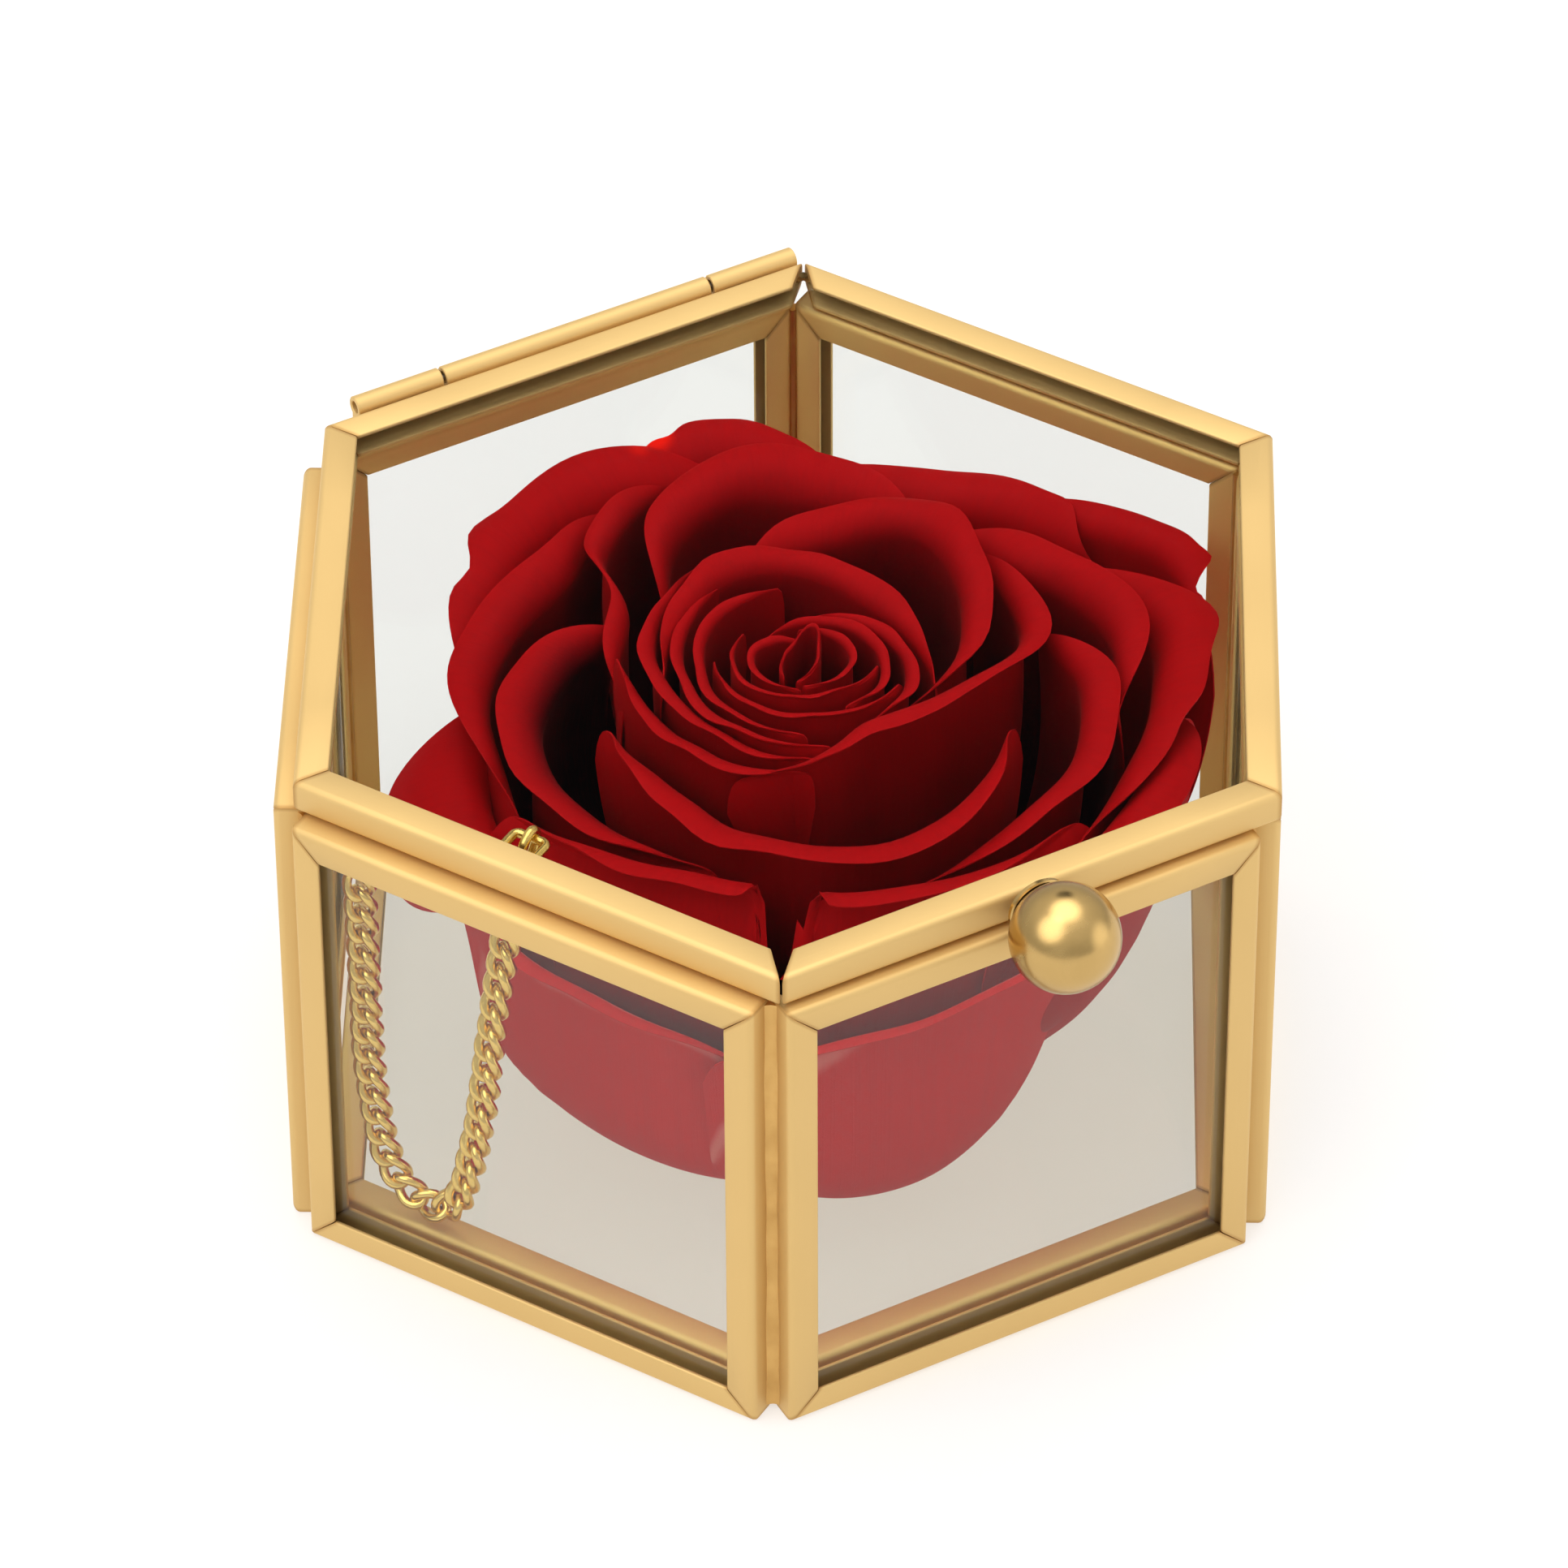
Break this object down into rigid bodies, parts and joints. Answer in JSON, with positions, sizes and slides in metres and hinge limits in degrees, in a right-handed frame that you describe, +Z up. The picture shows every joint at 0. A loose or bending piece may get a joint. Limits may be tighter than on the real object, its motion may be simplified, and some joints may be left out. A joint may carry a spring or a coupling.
{
  "type": "preserved rose in glass box",
  "caption": "Hexagonal keepsake box of glass panes in gold cames with a hinged lid, ball knob and stay chain, holding a full preserved rose head.",
  "frame": {"origin": "centre of the bounding box at the underside of the box", "axes": "+Z up, -Y towards the knob, +Y towards the lid's hinge, the stay chain on the -X side"},
  "size_m": [0.0922, 0.091, 0.0514],
  "materials": {
    "gold": "satin gold plating on bent and soldered brass strip, the knob polished",
    "glass": "clear flat glass",
    "petal": "soft velvety preserved petal, matt",
    "receptacle": "dried plant tissue, matt"
  },
  "bodies": {
    "box": {"came_base": "gold", "came_hinge": "gold", "came_knob": "gold", "came_left_back": "gold", "came_left_front": "gold", "came_right_back": "gold", "came_right_front": "gold", "chain_ring_box": "gold", "chain_run": "gold", "glass_base": "glass", "glass_hinge": "glass", "glass_knob": "glass", "glass_left_back": "glass", "glass_left_front": "glass", "glass_right_back": "glass", "glass_right_front": "glass", "hinge_knuckle_left": "gold", "hinge_knuckle_right": "gold", "hinge_pin": "gold", "petal_bud_front": "petal", "petal_bud_right": "petal", "petal_cup_back": "petal", "petal_cup_left": "petal", "petal_cup_left_inner": "petal", "petal_cup_right": "petal", "petal_fold_left": "petal", "petal_fold_left_outer": "petal", "petal_guard_front": "petal", "petal_guard_left": "petal", "petal_guard_right": "petal", "petal_heart_fold": "petal", "petal_heart_front": "petal", "petal_heart_left": "petal", "petal_heart_right": "petal", "petal_outer_back": "petal", "petal_outer_back_left": "petal", "petal_outer_back_right": "petal", "petal_outer_front_right": "petal", "petal_outer_left": "petal", "petal_outer_right": "petal", "petal_outer_right_tip": "petal", "petal_shell_back": "petal", "petal_shell_front": "petal", "petal_shell_left": "petal", "petal_shell_left_tip": "petal", "petal_shell_right": "petal", "petal_under_left": "petal", "petal_under_right": "petal", "petal_wing_back": "petal", "petal_wing_right": "petal", "rose_receptacle": "receptacle"},
    "lid": {"lid_rail_right": "gold", "lid_rail_left": "gold", "lid_glass": "glass", "hinge_knuckle_lid": "gold", "knob_collar": "gold", "knob_ball": "gold", "chain_ring_lid": "gold"}
  },
  "joints": [
    {"name": "lid_hinge", "type": "hinge", "parent": "box", "child": "lid", "pos_m": [-0.00053, 0.04459, 0.0475], "axis": [-1, 0, 0], "range_deg": [0, 100]}
  ]
}
